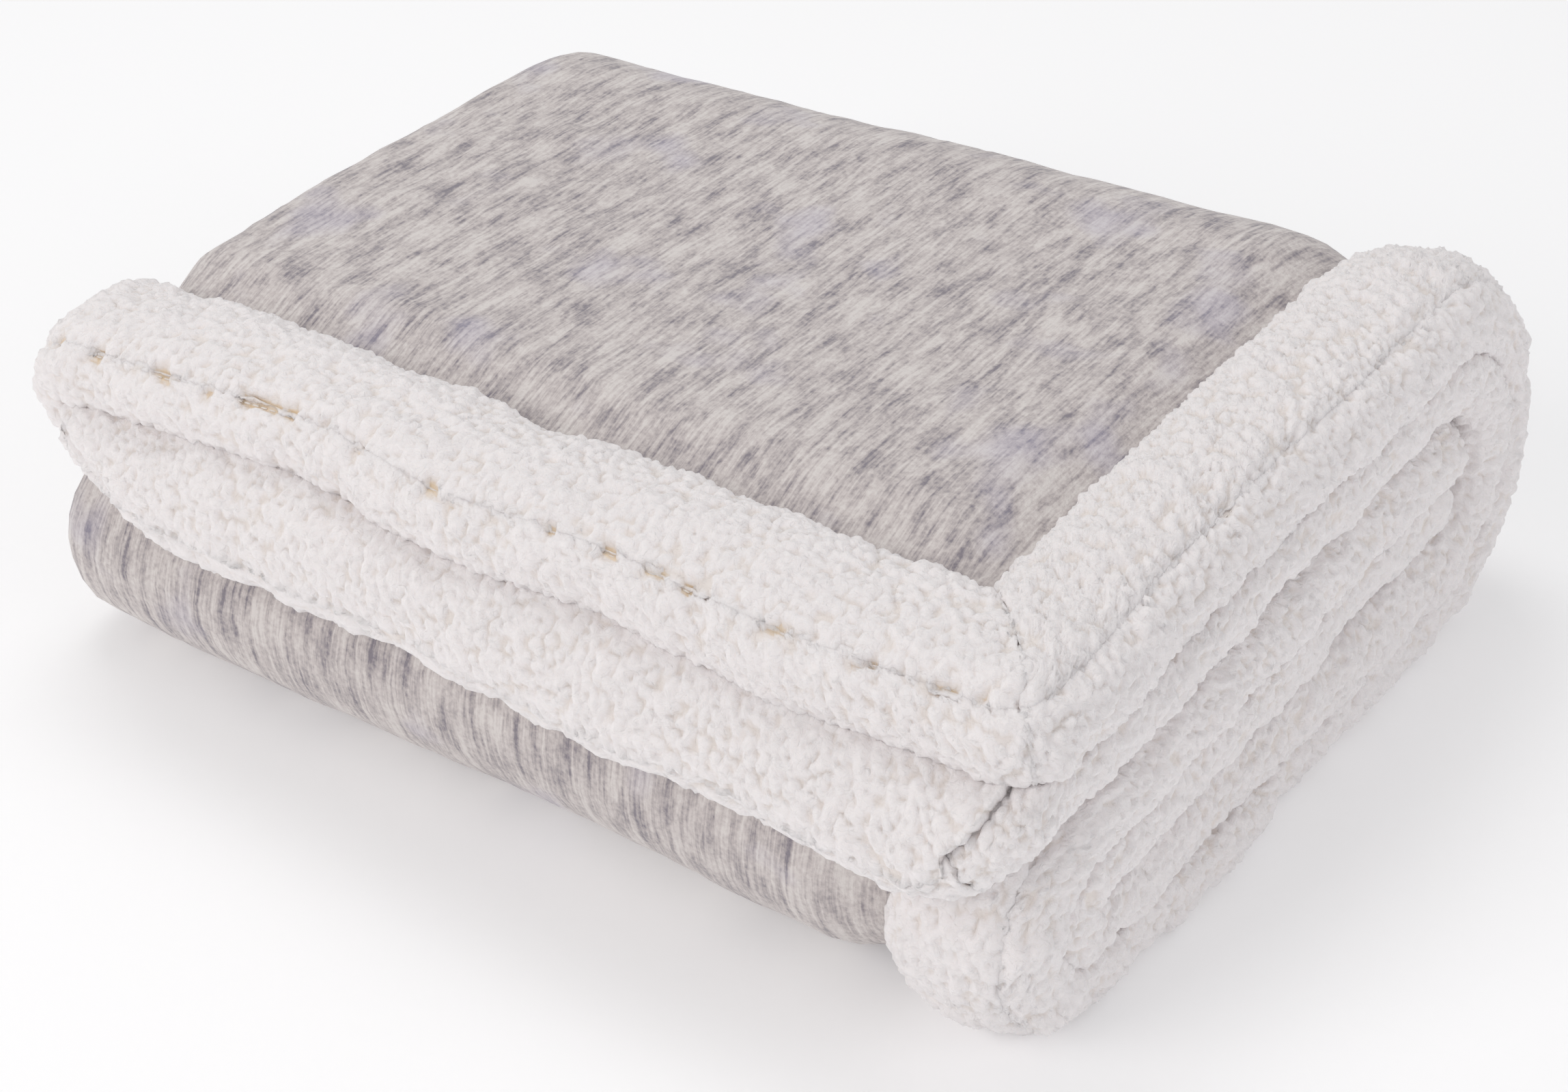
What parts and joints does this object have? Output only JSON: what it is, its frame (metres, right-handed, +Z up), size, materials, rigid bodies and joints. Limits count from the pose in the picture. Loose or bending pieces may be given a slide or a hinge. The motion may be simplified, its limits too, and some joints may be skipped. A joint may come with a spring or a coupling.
{
  "type": "folded throw blanket",
  "caption": "Reversible throw, velour face and sherpa fleece back with a sherpa border, folded in half and then in thirds into a soft stack for a shelf or bed.",
  "frame": {"origin": "on the floor, under the middle of the folded stack's bounding box", "axes": "+X to the right along the front, from the half fold to the open hems; +Y to the back bend; +Z up"},
  "size_m": [0.379, 0.3218, 0.1328],
  "materials": {
    "velour": "heathered short-pile velour, soft sheen",
    "sherpa": "curly sherpa fleece pile, matte",
    "thread": "polyester sewing thread",
    "label": "blank woven satin"
  },
  "bodies": {
    "root": {"face_panel": "velour", "sherpa_backing": "sherpa", "border_outer_side": "sherpa", "border_inner_side": "sherpa", "border_front_end": "sherpa", "border_inside_end": "sherpa", "hem_seam_outer_side": "thread", "hem_seam_inner_side": "thread", "hem_seam_front_end": "thread", "hem_seam_inside_end": "thread", "edge_stitching_outer_side": "thread", "edge_stitching_inner_side": "thread", "edge_stitching_front_end": "thread", "edge_stitching_inside_end": "thread", "care_label": "label"}
  },
  "joints": []
}
